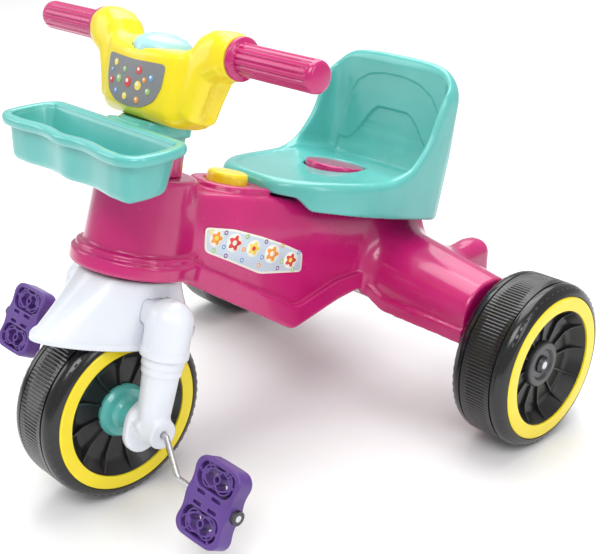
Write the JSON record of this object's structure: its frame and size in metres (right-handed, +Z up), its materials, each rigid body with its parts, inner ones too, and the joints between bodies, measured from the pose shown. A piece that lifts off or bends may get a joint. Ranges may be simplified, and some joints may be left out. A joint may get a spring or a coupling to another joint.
{
  "type": "children's tricycle",
  "caption": "Small plastic ride-on with a bucket seat, direct front pedals, wide handlebar with a horn dome, front basket, mudguard and smooth wide wheels.",
  "frame": {"origin": "on the floor, midway between the front and rear axles, in the middle plane", "axes": "+Z up, front of the tricycle faces -Y, +X is the rider's left"},
  "size_m": [0.5076, 0.526, 0.4325],
  "materials": {
    "magenta_plastic": "glossy blow moulding, mottled reflections",
    "teal_plastic": "satin to glossy moulding",
    "yellow_plastic": "glossy moulding",
    "white_plastic": "glossy moulding",
    "pale_teal_plastic": "glossy moulding",
    "grey_plastic": "satin",
    "black_tyre": "glossy blow-moulded plastic tyre",
    "black_plastic": "satin moulding",
    "purple_plastic": "satin moulding",
    "steel": "bright zinc plating",
    "sticker": null
  },
  "bodies": {
    "frame": {"body_shell": "magenta_plastic", "seat": "teal_plastic", "seat_screws": "steel", "rear_axle": "steel", "rear_axle_spacers": "black_plastic", "rear_push_nuts": "steel", "side_sticker_left": "sticker", "side_sticker_right": "sticker", "deck_button_spring": "steel"},
    "deck_button_body": {"deck_button": "yellow_plastic"},
    "steering": {"fork": "white_plastic", "mudguard": "white_plastic", "stem_sleeve": "magenta_plastic", "stem_screw": "steel", "basket": "teal_plastic", "handlebar_front_cover": "yellow_plastic", "handlebar_rear_cover": "yellow_plastic", "grip_tubes": "steel", "handlebar_screws": "steel", "grip_left": "magenta_plastic", "grip_right": "magenta_plastic", "dash_panel": "grey_plastic", "horn_spring": "steel"},
    "horn_button_body": {"horn_button": "pale_teal_plastic"},
    "front_wheel": {"front_tyre": "black_tyre", "front_rim": "black_plastic", "front_ring_left": "yellow_plastic", "front_ring_right": "yellow_plastic", "front_hub_left": "teal_plastic", "front_hub_right": "teal_plastic", "pedal_crank": "steel", "pedal_push_nuts": "steel"},
    "pedal_left_body": {"pedal_left": "purple_plastic"},
    "pedal_right_body": {"pedal_right": "purple_plastic"},
    "rear_wheel_left": {"rear_tyre_left": "black_tyre", "rear_rim_left": "black_plastic", "rear_ring_left": "yellow_plastic", "rear_hub_disc_left": "grey_plastic"},
    "rear_wheel_right": {"rear_tyre_right": "black_tyre", "rear_rim_right": "black_plastic", "rear_ring_right": "yellow_plastic", "rear_hub_disc_right": "grey_plastic"}
  },
  "joints": [
    {"name": "steering_turn", "type": "hinge", "parent": "frame", "child": "steering", "pos_m": [0, -0.12943, 0.25753], "axis": [0, 0.2672, 0.9636], "range_deg": [-40, 40]},
    {"name": "front_wheel_spin", "type": "hinge", "parent": "steering", "child": "front_wheel", "pos_m": [0, -0.177, 0.086], "axis": [1, 0, 0], "continuous": true},
    {"name": "pedal_left_spin", "type": "hinge", "parent": "front_wheel", "child": "pedal_left_body", "pos_m": [0.166, -0.19039, 0.06371], "axis": [1, 0, 0], "continuous": true},
    {"name": "pedal_right_spin", "type": "hinge", "parent": "front_wheel", "child": "pedal_right_body", "pos_m": [-0.166, -0.16361, 0.10829], "axis": [1, 0, 0], "continuous": true},
    {"name": "rear_left_spin", "type": "hinge", "parent": "frame", "child": "rear_wheel_left", "pos_m": [0.221, 0.177, 0.086], "axis": [1, 0, 0], "continuous": true},
    {"name": "rear_right_spin", "type": "hinge", "parent": "frame", "child": "rear_wheel_right", "pos_m": [-0.221, 0.177, 0.086], "axis": [1, 0, 0], "continuous": true},
    {"name": "horn_press", "type": "slide", "parent": "steering", "child": "horn_button_body", "axis": [0, -0.2672, -0.9636], "range_m": [0, 0.003], "stiffness_N_per_m": 400, "springref_m": -0.001, "deforming": ["horn_spring"]},
    {"name": "deck_button_press", "type": "slide", "parent": "frame", "child": "deck_button_body", "axis": [0, -0.2672, -0.9636], "range_m": [0, 0.003], "stiffness_N_per_m": 400, "springref_m": -0.001, "deforming": ["deck_button_spring"]}
  ]
}
